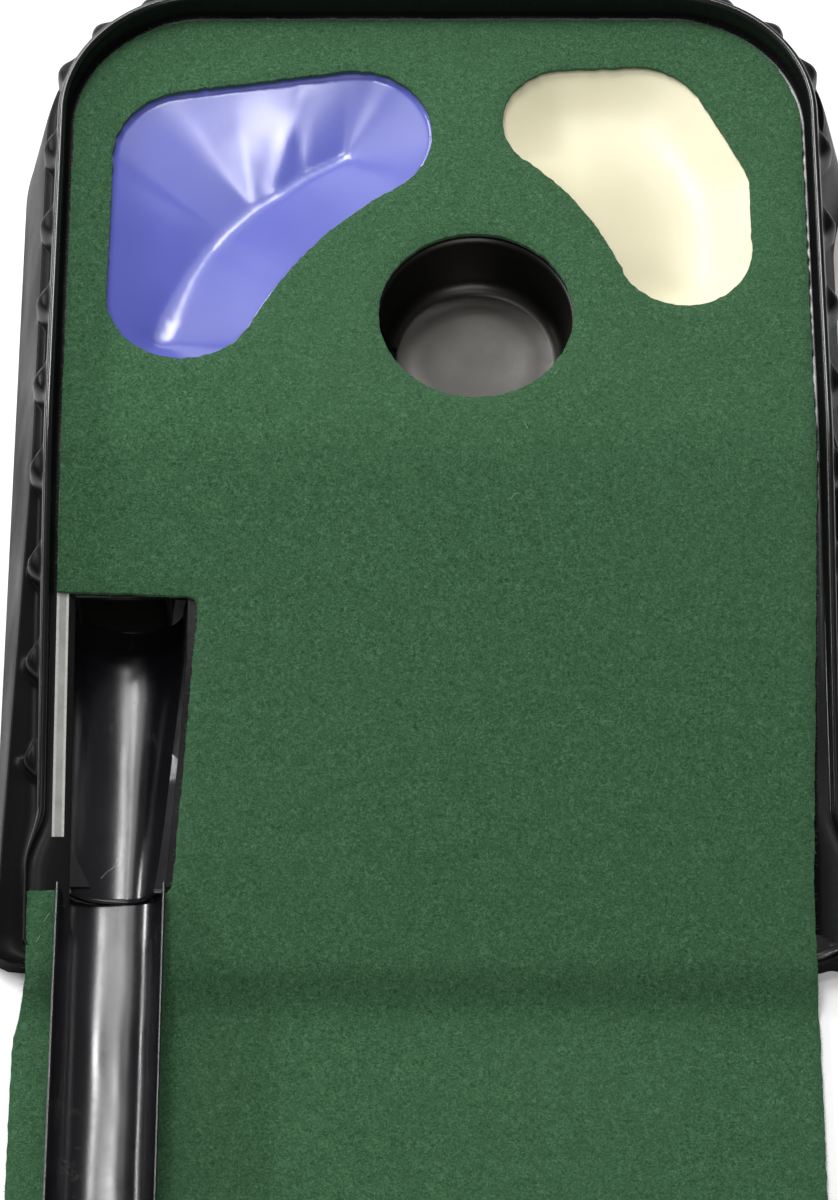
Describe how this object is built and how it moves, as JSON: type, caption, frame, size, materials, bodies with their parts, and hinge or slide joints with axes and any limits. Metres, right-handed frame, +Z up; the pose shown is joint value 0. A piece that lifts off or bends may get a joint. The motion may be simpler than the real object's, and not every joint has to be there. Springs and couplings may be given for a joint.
{
  "type": "practice putting mat",
  "caption": "Indoor putting mat: felt over a moulded black green with a cup, blue water and beige sand hazards, and a gravity ball return with a slip-together track.",
  "frame": {"origin": "centre of the footprint, on the floor", "axes": "+X right and +Y towards the back of the green as the player sees it, +Z up"},
  "size_m": [0.48, 2.472, 0.1001],
  "materials": {
    "black_shell": "glossy thermoformed sheet",
    "black_track": "glossy extruded plastic, scuffed",
    "water_blue": "glossy thermoformed sheet",
    "sand_beige": "glossy thermoformed sheet",
    "green_felt": "needle-punched felt",
    "tape": "paper-backed adhesive tape"
  },
  "bodies": {
    "green": {"base_shell": "black_shell", "cup_insert": "black_shell", "return_chute": "black_shell", "outlet_trough": "black_shell", "water_tray": "water_blue", "sand_tray": "sand_beige", "felt_on_green": "green_felt", "felt_runner": "green_felt", "tape_left": "tape", "tape_right": "tape", "tape_rear": "tape", "tape_front": "tape"},
    "track_1": {"track_section_1": "black_track"},
    "track_2": {"track_section_2": "black_track"},
    "track_3": {"track_section_3": "black_track"}
  },
  "joints": [
    {"name": "track_1_slide", "type": "slide", "parent": "green", "child": "track_1", "axis": [0, -1, 0], "range_m": [0, 0.06]},
    {"name": "track_2_slide", "type": "slide", "parent": "track_1", "child": "track_2", "axis": [0, -1, 0], "range_m": [0, 0.06]},
    {"name": "track_3_slide", "type": "slide", "parent": "track_2", "child": "track_3", "axis": [0, -1, 0], "range_m": [0, 0.06]}
  ]
}
